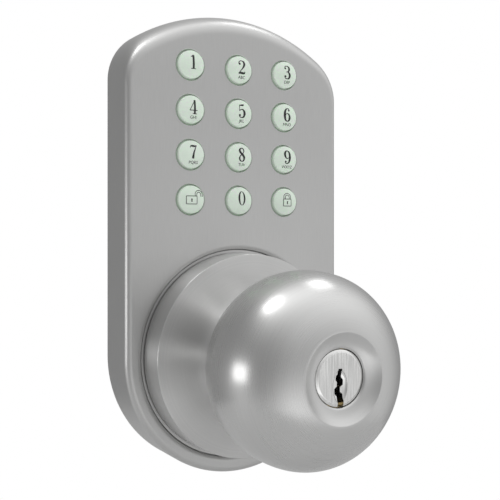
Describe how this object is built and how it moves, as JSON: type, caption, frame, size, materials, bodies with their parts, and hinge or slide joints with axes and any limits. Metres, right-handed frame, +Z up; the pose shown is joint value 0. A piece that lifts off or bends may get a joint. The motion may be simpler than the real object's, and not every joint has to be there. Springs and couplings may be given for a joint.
{
  "type": "keypad door lock",
  "caption": "Outside unit of a keypad door lock: a domed satin nickel plate with round glow keys above a ball knob on a round rose, with a key cylinder in the knob.",
  "frame": {"origin": "where the knob axis meets the door's face, at the middle of the two mounting posts", "axes": "+Z up, -Y out of the door towards the user, +X to the right seen from the front"},
  "size_m": [0.07, 0.0979, 0.1354],
  "materials": {
    "satin_nickel": "satin",
    "bright_nickel": "polished",
    "black_rubber": "matte",
    "white_rubber": "matte",
    "zinc_steel": "satin",
    "spring_steel": "polished",
    "brass": "satin",
    "cast_zinc": "matte",
    "board_green": "satin",
    "black_plastic": "matte",
    "ivory_plastic": "satin",
    "lamp_clear": "gloss",
    "glow_plastic": "satin"
  },
  "bodies": {
    "root": {"face_plate": "satin_nickel", "door_gasket": "black_rubber", "back_plate": "zinc_steel", "case_screws": "zinc_steel", "mounting_posts": "zinc_steel", "spindle_bush": "brass", "spring_cage": "zinc_steel", "return_spring": "spring_steel", "rose": "satin_nickel", "rose_seal": "black_rubber", "rose_nut": "zinc_steel", "keypad_membrane": "white_rubber", "circuit_board": "board_green", "snap_domes": "spring_steel", "backlight_leds": "lamp_clear", "control_chip": "black_plastic", "buzzer": "black_plastic", "cable_socket": "ivory_plastic", "cable_grommet": "black_rubber", "board_screws": "zinc_steel"},
    "knob": {"knob_shell": "satin_nickel", "knob_neck": "satin_nickel", "knob_core": "cast_zinc", "cylinder_body": "brass", "driver_pins": "brass", "pin_springs": "spring_steel", "chamber_cap": "brass", "spindle": "zinc_steel", "drive_cam": "zinc_steel", "spindle_clip": "zinc_steel"},
    "plug": {"key_plug": "bright_nickel", "key_pins": "brass", "plug_clip": "zinc_steel", "tailpiece": "zinc_steel"},
    "key_1": {"button_1": "glow_plastic"},
    "key_2": {"button_2": "glow_plastic"},
    "key_3": {"button_3": "glow_plastic"},
    "key_4": {"button_4": "glow_plastic"},
    "key_5": {"button_5": "glow_plastic"},
    "key_6": {"button_6": "glow_plastic"},
    "key_7": {"button_7": "glow_plastic"},
    "key_8": {"button_8": "glow_plastic"},
    "key_9": {"button_9": "glow_plastic"},
    "key_unlock": {"button_unlock": "glow_plastic"},
    "key_0": {"button_0": "glow_plastic"},
    "key_lock": {"button_lock": "glow_plastic"}
  },
  "joints": [
    {"name": "knob_turn", "type": "hinge", "parent": "root", "child": "knob", "pos_m": [0, 0, 0], "axis": [0, 1, 0], "range_deg": [-60, 60], "stiffness_Nm_per_rad": 0.3},
    {"name": "plug_turn", "type": "hinge", "parent": "knob", "child": "plug", "pos_m": [0, 0, 0], "axis": [0, 1, 0], "range_deg": [-90, 90]},
    {"name": "press_1", "type": "slide", "parent": "root", "child": "key_1", "axis": [0, 1, 0], "range_m": [0, 0.0008], "stiffness_N_per_m": 900, "springref_m": -0.0006},
    {"name": "press_2", "type": "slide", "parent": "root", "child": "key_2", "axis": [0, 1, 0], "range_m": [0, 0.0008], "stiffness_N_per_m": 900, "springref_m": -0.0006},
    {"name": "press_3", "type": "slide", "parent": "root", "child": "key_3", "axis": [0, 1, 0], "range_m": [0, 0.0008], "stiffness_N_per_m": 900, "springref_m": -0.0006},
    {"name": "press_4", "type": "slide", "parent": "root", "child": "key_4", "axis": [0, 1, 0], "range_m": [0, 0.0008], "stiffness_N_per_m": 900, "springref_m": -0.0006},
    {"name": "press_5", "type": "slide", "parent": "root", "child": "key_5", "axis": [0, 1, 0], "range_m": [0, 0.0008], "stiffness_N_per_m": 900, "springref_m": -0.0006},
    {"name": "press_6", "type": "slide", "parent": "root", "child": "key_6", "axis": [0, 1, 0], "range_m": [0, 0.0008], "stiffness_N_per_m": 900, "springref_m": -0.0006},
    {"name": "press_7", "type": "slide", "parent": "root", "child": "key_7", "axis": [0, 1, 0], "range_m": [0, 0.0008], "stiffness_N_per_m": 900, "springref_m": -0.0006},
    {"name": "press_8", "type": "slide", "parent": "root", "child": "key_8", "axis": [0, 1, 0], "range_m": [0, 0.0008], "stiffness_N_per_m": 900, "springref_m": -0.0006},
    {"name": "press_9", "type": "slide", "parent": "root", "child": "key_9", "axis": [0, 1, 0], "range_m": [0, 0.0008], "stiffness_N_per_m": 900, "springref_m": -0.0006},
    {"name": "press_unlock", "type": "slide", "parent": "root", "child": "key_unlock", "axis": [0, 1, 0], "range_m": [0, 0.0008], "stiffness_N_per_m": 900, "springref_m": -0.0006},
    {"name": "press_0", "type": "slide", "parent": "root", "child": "key_0", "axis": [0, 1, 0], "range_m": [0, 0.0008], "stiffness_N_per_m": 900, "springref_m": -0.0006},
    {"name": "press_lock", "type": "slide", "parent": "root", "child": "key_lock", "axis": [0, 1, 0], "range_m": [0, 0.0008], "stiffness_N_per_m": 900, "springref_m": -0.0006}
  ]
}
